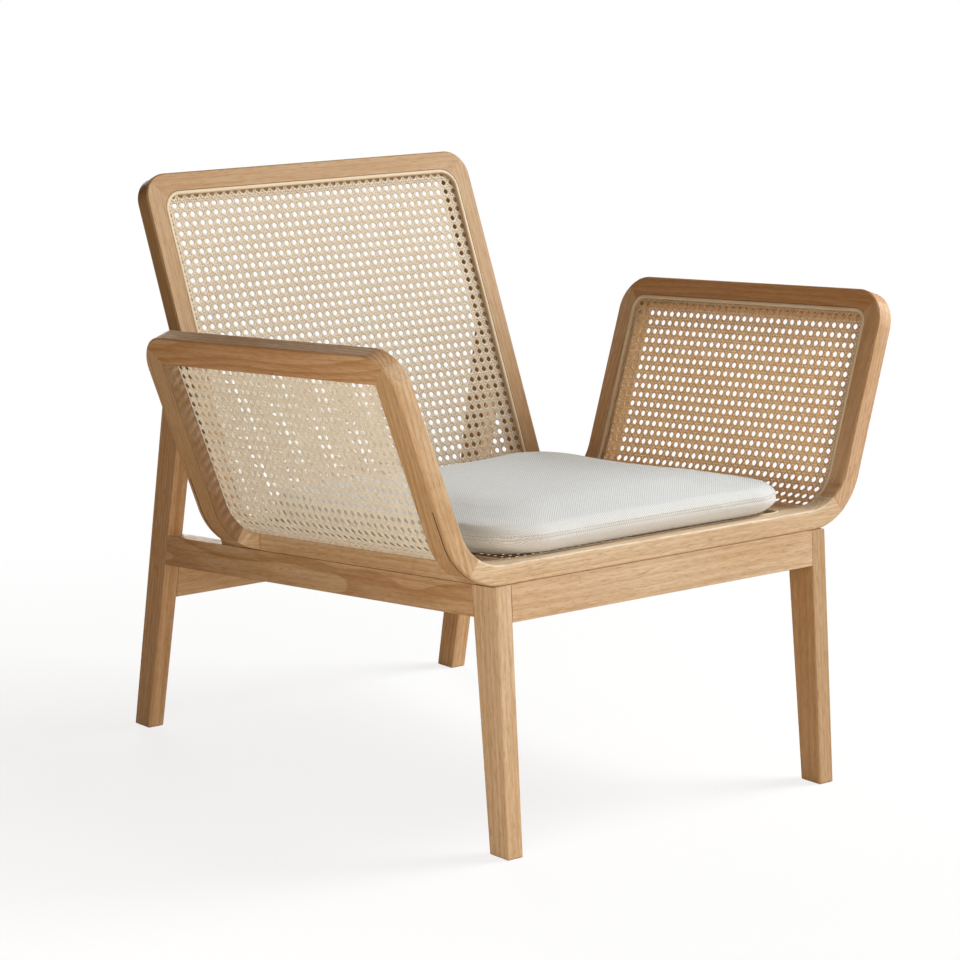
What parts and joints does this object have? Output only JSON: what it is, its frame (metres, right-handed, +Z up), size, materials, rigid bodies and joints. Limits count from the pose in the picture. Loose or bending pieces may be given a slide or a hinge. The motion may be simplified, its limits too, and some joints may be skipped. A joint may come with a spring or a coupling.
{
  "type": "lounge chair",
  "caption": "Low oak lounge chair with a cane-panelled seat shell that bends up into flared arms, a reclined cane back, raked legs and a loose seat cushion.",
  "frame": {"origin": "on the floor, below the middle of the chair's bounding box", "axes": "+Z up, the sitter faces -Y, +X to the right as seen from the front; the chair is mirror-symmetric about X = 0"},
  "size_m": [0.8484, 0.77, 0.7365],
  "materials": {
    "oak": "clear matt oiled oak",
    "dark_key": "dark hardwood, matt",
    "cane": "natural woven cane, satin",
    "reed": "natural reed, satin",
    "linen": "off-white basket-weave linen"
  },
  "bodies": {
    "chair_frame": {"leg_front_left": "oak", "leg_rear_left": "oak", "rail_side_left": "oak", "leg_front_right": "oak", "leg_rear_right": "oak", "rail_side_right": "oak", "rail_front": "oak", "rail_rear": "oak", "seat_rail_front": "oak", "seat_rail_rear": "oak", "arm_post_front_left": "oak", "arm_post_rear_left": "oak", "arm_rail_left": "oak", "seat_stretcher_left": "oak", "back_stile_left": "oak", "arm_post_front_right": "oak", "arm_post_rear_right": "oak", "arm_rail_right": "oak", "seat_stretcher_right": "oak", "back_stile_right": "oak", "back_rail_top": "oak", "back_rail_bottom": "oak", "mitre_keys": "dark_key", "cane_seat": "cane", "cane_back": "cane", "cane_arm_left": "cane", "cane_arm_right": "cane", "reed_seat": "reed", "reed_back": "reed", "reed_arm_left": "reed", "reed_arm_right": "reed"},
    "cushion": {"cushion": "linen"}
  },
  "joints": [
    {"name": "cushion_lift", "type": "slide", "parent": "chair_frame", "child": "cushion", "axis": [0, 0, 1], "range_m": [0, 0.25]}
  ]
}
